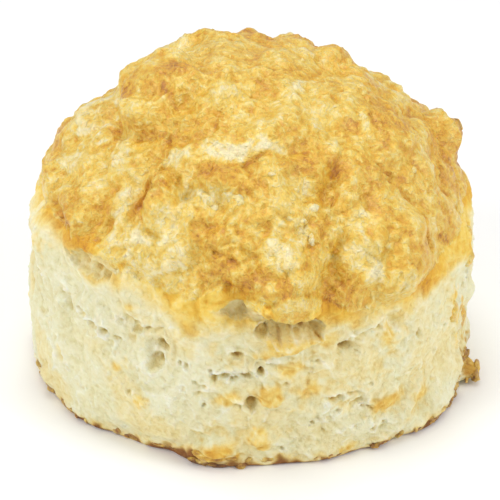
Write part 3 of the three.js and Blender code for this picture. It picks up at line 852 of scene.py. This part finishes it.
def weave(index):
    """Quads between the rows of a table of vertex numbers whose columns run round and close. They
    face outwards where rows run down and columns run anticlockwise, seen from above."""
    after = np.roll(index, -1, axis=1)
    return np.stack([index[:-1], index[1:], after[1:], after[:-1]], -1).reshape(-1, 4)


def fan(ring, tip):
    """Triangles from a closed ring to a vertex above it. Reversed rings give one below."""
    return np.stack([ring, np.roll(ring, -1), np.full_like(ring, tip)], -1)


def make_piece(name, points, faces, marks, finish):
    """A closed mesh piece from points in millimetres, lists of faces, and the marks that its finish
    reads at each vertex."""
    mesh = bpy.data.meshes.new(name)
    mesh.from_pydata((points * MM).tolist(), [], [face for rows in faces for face in rows.tolist()])
    mesh.shade_smooth()
    for mark, values in marks.items():
        mesh.attributes.new(mark, "FLOAT", "POINT").data.foreach_set("value", values.astype("f4"))
    mesh.materials.append(finish)
    piece = bpy.data.objects.new(name, mesh)
    bpy.context.scene.collection.objects.link(piece)
    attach(piece, "root")
    return piece


class Wire:
    """One socket of a finish's node tree. Sums and products of wires and numbers add Math nodes."""

    def __init__(self, tree, socket):
        self.tree = tree
        self.socket = socket

    def math(self, operation, first, second=0.0):
        """The wire that leaves a Math node fed with two wires or numbers."""
        return node(self.tree, "ShaderNodeMath", {"operation": operation}, {0: first, 1: second})

    def __add__(self, other):
        return self.math("ADD", self, other)

    def __mul__(self, other):
        return self.math("MULTIPLY", self, other)

    def __sub__(self, other):
        return self.math("SUBTRACT", self, other)

    def __rsub__(self, other):
        return self.math("SUBTRACT", other, self)

    def __abs__(self):
        return self.math("ABSOLUTE", self)

    def floor_at(self, least):
        """This wire, or the least value where that is larger."""
        return self.math("MAXIMUM", self, least)

    __radd__ = __add__
    __rmul__ = __mul__


def node(tree, kind, settings, sockets, output=0):
    """Adds one node: its settings first, then the value or wire of each of its sockets."""
    made = tree.nodes.new(kind)
    for setting, value in settings.items():
        if setting == "stops":
            ramp = made.color_ramp
            while len(ramp.elements) < len(value):
                ramp.elements.new(0.5)
            for element, (position, colour) in zip(ramp.elements, value):
                element.position = position
                element.color = colour
        else:
            setattr(made, setting, value)
    for key, value in sockets.items():
        socket = made.inputs[key]
        if isinstance(value, Wire):
            tree.links.new(value.socket, socket)
        else:
            socket.default_value = value
    return Wire(tree, made.outputs[output])


def paint(red, green, blue):
    """A colour as seen on screen, from 0 to 255, turned into light: (s + 0.055) / 1.055 to the 2.4."""
    return (*(((part / 255 + 0.055) / 1.055) ** 2.4 for part in (red, green, blue)), 1)


CRUST_PAINTS = [
    (0.00, paint(140, 84, 28)),
    (0.14, paint(196, 130, 36)),
    (0.28, paint(223, 164, 44)),
    (0.44, paint(235, 188, 66)),
    (0.60, paint(242, 208, 98)),
    (0.78, paint(246, 222, 142)),
    (1.00, paint(250, 236, 186)),
]
CRUMB_PAINTS = [
    (0.00, paint(150, 116, 52)),
    (0.20, paint(186, 160, 92)),
    (0.40, paint(217, 206, 150)),
    (0.60, paint(232, 226, 184)),
    (0.80, paint(239, 236, 205)),
    (1.00, paint(246, 245, 226)),
]
CHAR_PAINTS = [
    (0.00, paint(84, 46, 20)),
    (0.50, paint(152, 98, 44)),
    (1.00, paint(206, 152, 76)),
]
TONE_LOW, TONE_HIGH = -0.1, 1.1  # the tones at the two ends of a ramp
CURD_SIZE, BEAD_SIZE, GRAIN_SIZE = 1.15, 0.6, 0.6  # of the finish's fine marks, in millimetres
WIDE_THREAD, FINE_THREAD = 1.5, 0.8
LEAST_LIGHT = -0.07  # how far the fine marks, partly painted shade, may darken the dough
MELT_ROUGHNESS = 0.3  # of the cheese's gloss over the crust
LIGHT_LET_IN = 0.15  # share of the light that goes in under the surface, and how far
LIGHT_DEPTH = 0.5 * MM


def baked_finish(name, roughness, grain, grain_depth, curd_highlight_and_shade, curd_depth, thread_light, gloss):
    """Baked dough: three ramps of colour, for crust, crumb and char, run along the tone that is marked
    on the piece, lightened on fine grain, curds and threads and darkened between them. The same three
    make the bump, so on the curds the lightening is partly painted highlight and the dark between them
    painted shade. A little light goes in under the surface, and melted cheese adds a gloss."""
    material = bpy.data.materials.new(name)
    material.use_nodes = True
    tree = material.node_tree
    shader = tree.nodes["Principled BSDF"]

    def mark(attribute):
        """What is marked on the piece at each vertex."""
        return node(tree, "ShaderNodeAttribute", {"attribute_name": attribute}, {}, output=2)

    def mottle(millimetres, detail, twist=0.0):
        """Soft noise from 0 to 1 with blots of a size in millimetres."""
        scale = {"Vector": where, "Scale": 1 / (millimetres * MM), "Detail": detail, "Distortion": twist}
        return node(tree, "ShaderNodeTexNoise", {}, scale)

    def ramp(paints, along):
        """The colour of a row of paints at a place along it."""
        return node(tree, "ShaderNodeValToRGB", {"stops": paints}, {"Fac": along})

    def blend(share, under, over):
        """One colour laid over another by a share."""
        sockets = {0: share, 6: under, 7: over}
        return node(tree, "ShaderNodeMix", {"data_type": "RGBA"}, sockets, output=2)

    where = node(tree, "ShaderNodeTexCoord", {}, {}, output=3)
    warp = node(tree, "ShaderNodeTexNoise", {}, {"Vector": where, "Scale": 1 / (1.6 * MM)}, output=1)
    reach = {"operation": "MULTIPLY_ADD"}
    carried = node(tree, "ShaderNodeVectorMath", reach, {0: warp, 1: (1.2 * MM,) * 3, 2: where})

    def knobs(millimetres):
        """1 at the middle of each cell of a size, less twice the square of the way from it."""
        sockets = {"Vector": carried, "Scale": 1 / (millimetres * MM)}
        away = node(tree, "ShaderNodeTexVoronoi", {"feature": "SMOOTH_F1"}, sockets)
        return 1 - away * away * 2

    def threads(millimetres):
        """1 on thin lines where noise crosses its middle, falling to 0 at both sides."""
        return (1 - abs(mottle(millimetres, 1, 0.8) - 0.5) * 16).floor_at(0)

    curd, bead = knobs(CURD_SIZE), knobs(BEAD_SIZE)
    fine = mottle(GRAIN_SIZE, 4, 0.4)
    thread = threads(WIDE_THREAD) + threads(FINE_THREAD) * 0.6
    knob = curd * 0.7 + bead * 0.3 - 0.45
    lift = knob * curd_depth + thread * (0.3 * curd_depth) + (fine - 0.5) * grain_depth
    # On the curds this lightening is partly painted highlight, and the dark between them painted shade.
    light = (knob * curd_highlight_and_shade + thread * thread_light + (fine - 0.5) * grain).floor_at(LEAST_LIGHT)
    tone = (mark("tone") + light - TONE_LOW) * (1 / (TONE_HIGH - TONE_LOW))
    dough = blend(mark("gold"), ramp(CRUMB_PAINTS, tone), ramp(CRUST_PAINTS, tone))
    colour = blend(mark("char"), dough, ramp(CHAR_PAINTS, tone))
    tree.links.new(colour.socket, shader.inputs["Base Color"])

    rough = roughness + (fine - 0.5) * 0.3
    tree.links.new(rough.socket, shader.inputs["Roughness"])
    bump = node(tree, "ShaderNodeBump", {}, {"Strength": 1.0, "Distance": MM, "Height": lift})
    tree.links.new(bump.socket, shader.inputs["Normal"])
    shader.inputs["Coat Weight"].default_value = gloss
    shader.inputs["Coat Roughness"].default_value = MELT_ROUGHNESS
    shader.inputs["Subsurface Weight"].default_value = LIGHT_LET_IN
    shader.inputs["Subsurface Radius"].default_value = (1.0, 0.6, 0.3)
    shader.inputs["Subsurface Scale"].default_value = LIGHT_DEPTH
    return material


crumb_material = baked_finish("pale crumb", 0.75, 0.5, 0.4, 0.05, 0.1, 0.05, 0.0)


def crumb_push(azimuth, walked):
    """How far the crumb stands out of the plain body, and its marks, at places on the body."""
    point, _ = plain_body(azimuth, walked)
    relief, *marks = baked_surface(point)
    below = smooth((point[:, 2] - 0.3) / 1.2)
    return dough_relief(point) + relief * below, marks


def make_crumb():
    """Rows run from the lid's middle out to the wall, down it, round the rim and in under the base.
    Each column is one azimuth. The lid lies sunk under the crust, and the base lies on the floor."""
    azimuth = np.linspace(-np.pi, np.pi, CRUMB_COLUMNS, endpoint=False)
    azimuth -= CROWDING * np.sin(azimuth)
    top = walk_to(line_height(CRUST_EDGE, np.degrees(azimuth)) + TUCK)
    share = np.linspace(0, 1, WALL_ROWS)[:, None]
    walked = (top + (WALKED[-1] - top) * share).ravel()
    around = np.tile(azimuth, WALL_ROWS)
    point, normal = plain_body(around, walked)
    push, (gold, tone, char) = crumb_push(around, walked)
    edge = crust_edge(around)
    push -= LID_SINK * smooth((edge - walked - 0.8 * SOFT_SEAM) / SOFT_SEAM)
    wall = point + push_direction(around, point, normal) * push[:, None] + TO_CENTRE
    wall[:, 2] = np.maximum(wall[:, 2], 0)

    first, last = wall[:CRUMB_COLUMNS], wall[-CRUMB_COLUMNS:]
    centre = TO_CENTRE + (0, 0, first[:, 2].mean())
    out = np.arange(1, LID_ROWS + 1)[:, None, None] / (LID_ROWS + 1)
    lid = (centre + (first - centre) * out).reshape(-1, 3)
    inward = 1 - np.arange(1, BASE_ROWS + 1)[:, None, None] / (BASE_ROWS + 1)
    base = (TO_CENTRE + (last - TO_CENTRE) * inward).reshape(-1, 3)
    lift = 0.25 * np.abs(noise(base, 4)) + 0.15 * np.abs(noise(base, 1.7))
    base[:, 2] = lift * np.clip(2 * (1 - inward), 0, 1).repeat(CRUMB_COLUMNS, 1).ravel()

    points = np.concatenate([lid, wall, base, [centre], [TO_CENTRE]])
    rows = LID_ROWS + WALL_ROWS + BASE_ROWS
    index = np.arange(rows * CRUMB_COLUMNS).reshape(rows, CRUMB_COLUMNS)
    faces = [weave(index), fan(index[0], rows * CRUMB_COLUMNS)]
    faces.append(fan(index[-1][::-1], rows * CRUMB_COLUMNS + 1))

    patchy = 0.5 + 0.45 * noise(base, 9) + 0.3 * noise(base, 3)
    lid_marks, tip_marks = np.zeros(len(lid)), np.zeros(2)
    marks = {
        "gold": np.concatenate([lid_marks, gold, np.ones(len(base)), tip_marks]),
        "tone": np.concatenate([lid_marks, tone, 0.25 + 0.4 * patchy, tip_marks]),
        "char": np.concatenate([lid_marks, char, smooth(1.1 - patchy) * 0.8, tip_marks]),
    }
    return make_piece("crumb", points, faces, marks, crumb_material)


crumb = make_crumb()
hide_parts("scone")

# The crust: a shell of cheese and dough baked golden over the dome, wrinkled where the cheese melted
# flat and knobbly where it stayed in curds. It is one closed skin, thinnest at its ragged lower edge.
CRUST_GRID = 304  # squares along each side of the grid that is laid over the dome
CRUST_THICKNESS = 1.8
INNER_ROWS = 4
HUNG = 0.15  # how much of a hollow the crust above it takes up
CROWN_EXTRA = 1.5  # how much thicker the crust is at the crown than at its edge
EDGE_THICKNESS = 0.6
EDGE_TUCK = 0.9  # how deep the crust's edge is tucked into the crumb
HUNG_WIDER, HUNG_HIGHER = 1.5, 3.5  # how far past a hollow's outline the crust hangs free


def disc_grid(count):
    """A square grid drawn out to a disc: squares about the middle become rings, so a vertex's ring is
    its larger coordinate, and its azimuth runs evenly along each side."""
    line = np.linspace(-1, 1, count + 1)
    across, up = np.meshgrid(line, line)
    ring = np.maximum(np.abs(across), np.abs(up))
    whole = np.where(ring == 0, 1, ring)
    wide = np.abs(across) >= np.abs(up)
    turn = np.where(wide, up / whole * np.sign(across), -across / whole * np.sign(up)) * np.pi / 4
    quarter = np.where(wide, np.where(across >= 0, 0, np.pi), np.where(up >= 0, 1, -1) * np.pi / 2)
    angle = quarter + turn
    azimuth = np.arctan2(np.cos(angle), -np.sin(angle)).ravel()
    return ring.ravel(), azimuth - CROWDING * np.sin(azimuth)


def crust_push(azimuth, walked, edge):
    """How far the crust stands out of the plain body, and its marks. Its edge is rolled, a quarter
    circle that sinks into the crumb, wide where it lies on the crumb and narrow over a hollow."""
    point, _ = plain_body(azimuth, walked)
    relief, *marks = baked_surface(point, 0)
    free = ((*spot[:2], spot[2] + HUNG_WIDER, spot[3] + HUNG_HIGHER, 1, 0.5) for spot in HOLLOWS)
    hung = np.clip(sum(cover(spot, point, 0) for spot in free), 0, 1)
    seam = SOFT_SEAM + (HARD_SEAM - SOFT_SEAM) * hung
    risen = np.sqrt(1 - (1 - np.clip((edge - walked) / seam, 0, 1)) ** 2)
    sunk = crumb_push(azimuth, walked)[0] - EDGE_TUCK
    return sunk + (dough_relief(point, HUNG) + relief - sunk) * risen, marks


def make_crust():
    """The outer face is the disc grid laid over the dome, from the crown down to the ragged edge. Its
    edge dips into the crumb, and rings run from there inside, under the dome, to close the skin."""
    ring, azimuth = disc_grid(CRUST_GRID)
    edge = crust_edge(azimuth)
    walked = ring * edge
    point, normal = plain_body(azimuth, walked)
    push, (gold, tone, char) = crust_push(azimuth, walked, edge)
    way = push_direction(azimuth, point, normal)
    outer = point + way * push[:, None] + TO_CENTRE

    side = np.arange((CRUST_GRID + 1) ** 2).reshape(CRUST_GRID + 1, CRUST_GRID + 1)
    squares = np.stack([side[:-1, :-1], side[:-1, 1:], side[1:, 1:], side[1:, :-1]], -1).reshape(-1, 4)
    rim = np.concatenate([side[0, :-1], side[:-1, -1], side[-1, :0:-1], side[:0:-1, 0]])
    share = np.linspace(1, 0, INNER_ROWS, endpoint=False)[:, None]
    inside = (walked[rim] * share).ravel()
    around = np.tile(azimuth[rim], INNER_ROWS)
    point, normal = plain_body(around, inside)
    thickness = CRUST_THICKNESS + CROWN_EXTRA * (1 - share.repeat(len(rim), 1).ravel())
    inner = point - normal * thickness[:, None] + TO_CENTRE
    inner[:len(rim)] = outer[rim] - EDGE_THICKNESS * way[rim]
    tip = np.array([[0, 0, HEIGHT - CRUST_THICKNESS - CROWN_EXTRA]]) + TO_CENTRE

    points = np.concatenate([outer, inner, tip])
    rings = len(outer) + np.arange(INNER_ROWS * len(rim)).reshape(INNER_ROWS, len(rim))
    faces = [squares, weave(np.concatenate([rim[None], rings])), fan(rings[-1][::-1], len(points) - 1)]
    hidden = np.zeros(len(inner) + 1)
    marks = {
        "gold": np.concatenate([gold, hidden + 1]),
        "tone": np.concatenate([tone, hidden + 0.5]),
        "char": np.concatenate([char, hidden]),
    }
    return make_piece("crust", points, faces, marks, crust_material)


crust_material = baked_finish("golden crust", 0.36, 0.6, 0.5, 0.34, 0.3, 0.2, 0.35)
crust = make_crust()
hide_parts("scone")

# Cheese that melted out: crisp brown lace round the foot where it fried on the hot tray, soft amber
# nodules on the wall, and pale gratings that lie on the crust. Each is a closed lump sunk in the dough.
LACE = 150  # small fried lumps drawn round the whole foot, besides those listed
LACE_SEED = 11
LUMP_MESH = (9, 14)  # rings and columns of a lump, and of a scrap of lace, which is smaller
LACE_MESH = (5, 9)

# Azimuth, elevation, half width, half height, thickness, turn, tone and char
FRIED = [
    (50, -29.0, 1.2, 0.6, 0.8, 10, 0.35, 0.6),
    (55, -28.6, 1.1, 0.8, 0.9, 0, 0.45, 0.5),
    (59, -28.4, 1.2, 0.7, 0.9, 20, 0.25, 0.8),
    (62, -27.2, 0.9, 1.0, 1.0, -20, 0.4, 0.5),
    (65, -27.8, 1.3, 0.8, 0.9, -10, 0.3, 0.7),
    (67, -25.6, 0.8, 0.8, 0.7, 30, 0.5, 0.4),
    (70, -25.0, 1.1, 1.6, 0.8, 20, 0.45, 0.3),
    (72, -27.6, 1.2, 0.9, 0.7, 30, 0.4, 0.5),
    (75, -24.6, 1.1, 1.4, 0.7, 0, 0.35, 0.6),
    (-69, -27.2, 1.1, 0.8, 0.9, -20, 0.35, 0.6),
    (-72, -25.6, 0.9, 0.9, 0.9, 10, 0.45, 0.5),
    (-64, -28.4, 1.2, 0.6, 0.8, 0, 0.3, 0.7),
    (-13, -29.2, 1.7, 0.6, 0.8, -8, 0.2, 0.85),
    (-8, -29.4, 2.0, 0.6, 0.9, 0, 0.15, 0.95),
    (-3, -29.4, 1.5, 0.6, 0.7, 5, 0.2, 0.85),
    (33, -29.0, 1.5, 0.5, 0.7, 8, 0.25, 0.7),
    (40, -28.6, 1.1, 0.8, 0.9, 8, 0.35, 0.6),
    (-33, -29.4, 1.7, 0.5, 0.6, -8, 0.3, 0.6),
]
NODULES = [
    (63.2, -7.0, 1.6, 2.0, 0.9, 0, 0.5, 0.0),
    (69.5, -7.5, 1.2, 2.2, 0.8, 0, 0.5, 0.0),
    (72.0, 4.0, 1.1, 1.6, 1.0, 0, 0.45, 0.0),
    (73.0, -14.0, 1.7, 2.4, 0.9, 0, 0.4, 0.05),
    (74.5, -27.6, 1.7, 1.4, 0.6, 20, 0.3, 0.3),
    (71.5, -25.4, 1.3, 1.2, 0.6, 0, 0.3, 0.35),
    (77.0, -25.0, 1.1, 1.1, 0.5, 0, 0.3, 0.35),
    (100, 27.0, 1.7, 1.5, 1.5, 20, 0.2, 0.5),
    (103, 31.0, 1.2, 1.2, 1.2, 0, 0.3, 0.3),
    (74.0, 10.0, 0.9, 1.3, 0.8, 0, 0.35, 0.1),
    (62.0, 14.8, 0.9, 0.9, 0.6, 0, 0.3, 0.15),
    (66.5, 21.0, 0.9, 1.0, 0.6, 0, 0.3, 0.1),
    (150, -12.0, 1.6, 1.3, 0.9, 0, 0.4, 0.2),
    (-122, -18.0, 1.4, 1.6, 1.0, 0, 0.4, 0.2),
    (-165, 3.0, 1.8, 1.3, 1.0, 0, 0.4, 0.2),
    (-10, -27.0, 2.6, 0.9, 1.1, -8, 0.3, 0.25),
    (-5, -27.4, 1.6, 0.7, 0.9, 0, 0.25, 0.4),
]
GRATINGS = [
    (-15.2, 38.4, 0.8, 1.0, 0.3, 20, 0.75, 0.0),
    (-12.4, 36.6, 0.7, 1.1, 0.3, 35, 0.73, 0.0),
    (-10.8, 35.2, 0.6, 0.6, 0.3, 0, 0.70, 0.0),
    (-4.4, 37.4, 1.4, 0.8, 0.3, -15, 0.73, 0.0),
    (-6.8, 38.3, 0.9, 0.7, 0.3, 10, 0.68, 0.0),
    (-2.4, 36.2, 0.7, 0.6, 0.3, 0, 0.70, 0.0),
    (6.8, 42.6, 0.6, 0.4, 0.3, 0, 0.76, 0.0),
    (18.2, 34.3, 0.9, 0.7, 0.3, 20, 0.72, 0.0),
    (15.8, 36.4, 0.6, 0.4, 0.3, 0, 0.70, 0.0),
    (16.4, 26.8, 0.7, 1.0, 0.3, 10, 0.78, 0.0),
    (13.4, 30.8, 1.3, 0.7, 0.3, 15, 0.68, 0.0),
    (11.2, 32.4, 0.7, 0.4, 0.3, 0, 0.67, 0.0),
    (14.8, 39.2, 0.4, 0.3, 0.3, 0, 0.75, 0.0),
    (-24, 21, 0.9, 0.6, 0.3, -20, 0.68, 0.0),
    (60, 34, 0.7, 0.4, 0.3, 10, 0.66, 0.0),
    (-150, 38, 1.0, 0.7, 0.3, 20, 0.70, 0.0),
    (165, 34, 0.8, 1.0, 0.3, 10, 0.73, 0.0),
    (128, 40, 1.0, 0.6, 0.3, 0, 0.70, 0.0),
]


def fried_lace():
    """Small fried lumps in a thin and broken band round the foot, drawn from a fixed seed."""
    draw = np.random.default_rng(LACE_SEED)
    return [tuple(row) for row in np.stack([
        draw.uniform(-180, 180, LACE),
        draw.uniform(-29.6, -28.4, LACE),
        draw.uniform(0.35, 1.1, LACE),
        draw.uniform(0.25, 0.55, LACE),
        draw.uniform(0.2, 0.55, LACE),
        draw.uniform(-15, 15, LACE),
        draw.uniform(0.1, 0.6, LACE),
        draw.uniform(0.4, 1.0, LACE),
    ], -1)]


def make_lumps(name, rows, mesh, sink, roughness_height, finish):
    """Each lump is a ball drawn out to its half sizes along the surface and across it, roughened by
    noise, and sunk by a share of its thickness into the dough. Poles are closed by fans."""
    table = np.array(rows, float)
    turn = np.radians(table[:, 0])
    walked = walk_to(table[:, 1])
    edge = crust_edge(turn)
    on_crust = walked < edge - HARD_SEAM
    push = np.where(on_crust, crust_push(turn, walked, edge)[0], crumb_push(turn, walked)[0])
    point, normal, across, up = place(table[:, 0], table[:, 1])
    push -= sink * table[:, 4]
    seat = point + push_direction(turn, point, normal) * push[:, None] + TO_CENTRE
    tip = np.radians(table[:, 5])[:, None]
    along = np.cos(tip) * across + np.sin(tip) * up
    over = np.cos(tip) * up - np.sin(tip) * across

    rings, columns = mesh
    down = np.linspace(0, np.pi, rings + 2)[1:-1]
    about = np.linspace(0, 2 * np.pi, columns, endpoint=False)
    down, about = np.meshgrid(down, about, indexing="ij")
    ball = np.stack([np.sin(down) * np.cos(about), np.sin(down) * np.sin(about), np.cos(down)], -1)
    ball = np.concatenate([ball.reshape(-1, 3), [(0, 0, 1), (0, 0, -1)]])
    count = len(ball)
    x, y, z = (ball[:, axis, None] * table[:, 2 + axis] for axis in range(3))
    offset = x[..., None] * along + y[..., None] * over + z[..., None] * normal
    points = (seat + offset).transpose(1, 0, 2).reshape(-1, 3)
    outward = offset.transpose(1, 0, 2).reshape(-1, 3)
    outward /= np.linalg.norm(outward, axis=1, keepdims=True)
    rough = noise(points, 0.9) + 0.6 * noise(points, 0.5)
    size = np.repeat(np.minimum(table[:, 2], table[:, 3]), count)
    points += outward * (roughness_height * size * rough)[:, None]
    points[:, 2] = np.maximum(points[:, 2], 0.02)

    index = np.arange(rings * columns).reshape(mesh)
    quads = weave(index)
    caps = np.concatenate([fan(index[0], count - 2), fan(index[-1][::-1], count - 1)])
    starts = np.arange(len(table))[:, None, None] * count
    faces = [(quads + starts).reshape(-1, 4), (caps + starts).reshape(-1, 3)]
    marks = {
        "gold": np.ones(len(points)),
        # Where the roughening stands up a lump is painted lighter and less charred, partly as highlight,
        # and darker where it sinks, as painted shade.
        "tone": np.repeat(table[:, 6], count) + 0.22 * rough,
        "char": np.clip(np.repeat(table[:, 7], count) * (1 - 0.9 * rough), 0, 1),
    }
    piece = make_piece(name, points, faces, marks, finish)
    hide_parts("scone")
    return piece


make_lumps("fried_lace", FRIED + fried_lace(), LACE_MESH, 0.6, 0.5, crust_material)
make_lumps("cheese_nodules", NODULES, LUMP_MESH, 0.6, 0.16, crust_material)
make_lumps("cheese_gratings", GRATINGS, LUMP_MESH, 0.3, 0.4, crust_material)

# The studio: a white floor, a bright white surround, and soft boxes to the left, right and above.
# The camera looks down 29 degrees at the scone's front from 300 mm, through a long lens.
FLOOR_SIZE = 4000
CAMERA_ELEVATION = 28.6
CAMERA_DISTANCE = 300
CAMERA_AIM = (-0.5, 0, 18.3)
PICTURE_WIDTH = 500
PIXELS_PER_MM = 6.294  # at the aim point
SENSOR = 36
SURROUND = 0.55  # strength of the white surround
SOFT_BOXES = [  # name, place, size and strength
    ("left box", (-420, -220, 330), 300, 1.05),
    ("right box", (430, -200, 300), 300, 0.95),
    ("top box", (-30, 60, 560), 300, 1.05),
]

corners = FLOOR_SIZE / 2 * np.array([(-1, -1, 0), (1, -1, 0), (1, 1, 0), (-1, 1, 0)])
floor_mesh = bpy.data.meshes.new("floor")
floor_mesh.from_pydata((corners * MM).tolist(), [], [(0, 1, 2, 3)])
floor = bpy.data.objects.new("floor", floor_mesh)
bpy.context.scene.collection.objects.link(floor)
floor_material = bpy.data.materials.new("white floor")
floor_material.use_nodes = True
floor_shader = floor_material.node_tree.nodes["Principled BSDF"]
floor_shader.inputs["Base Color"].default_value = (0.97, 0.97, 0.97, 1)
floor_shader.inputs["Roughness"].default_value = 0.9
floor_shader.inputs["Specular IOR Level"].default_value = 0.1
floor_mesh.materials.append(floor_material)

world = bpy.data.worlds.new("surround")
world.use_nodes = True
world.node_tree.nodes["Background"].inputs["Color"].default_value = (1, 1, 1, 1)
world.node_tree.nodes["Background"].inputs["Strength"].default_value = SURROUND
bpy.context.scene.world = world
bpy.context.scene.view_settings.view_transform = "Standard"

aim = Vector(CAMERA_AIM) * MM
for name, spot, size, strength in SOFT_BOXES:
    light = bpy.data.lights.new(name, "AREA")
    light.shape = "DISK"
    light.size = size * MM
    light.energy = strength
    box = bpy.data.objects.new(name, light)
    box.location = Vector(spot) * MM
    box.rotation_euler = (aim - box.location).to_track_quat("-Z", "Y").to_euler()
    bpy.context.scene.collection.objects.link(box)

camera_data = bpy.data.cameras.new("camera")
camera_data.sensor_width = SENSOR
camera_data.lens = PIXELS_PER_MM * CAMERA_DISTANCE * SENSOR / PICTURE_WIDTH
camera_data.clip_start = 0.01
camera = bpy.data.objects.new("camera", camera_data)
rise = np.radians(CAMERA_ELEVATION)
camera.location = aim + Vector((0, -np.cos(rise), np.sin(rise))) * CAMERA_DISTANCE * MM
camera.rotation_euler = (aim - camera.location).to_track_quat("-Z", "Y").to_euler()
bpy.context.scene.collection.objects.link(camera)
bpy.context.scene.camera = camera
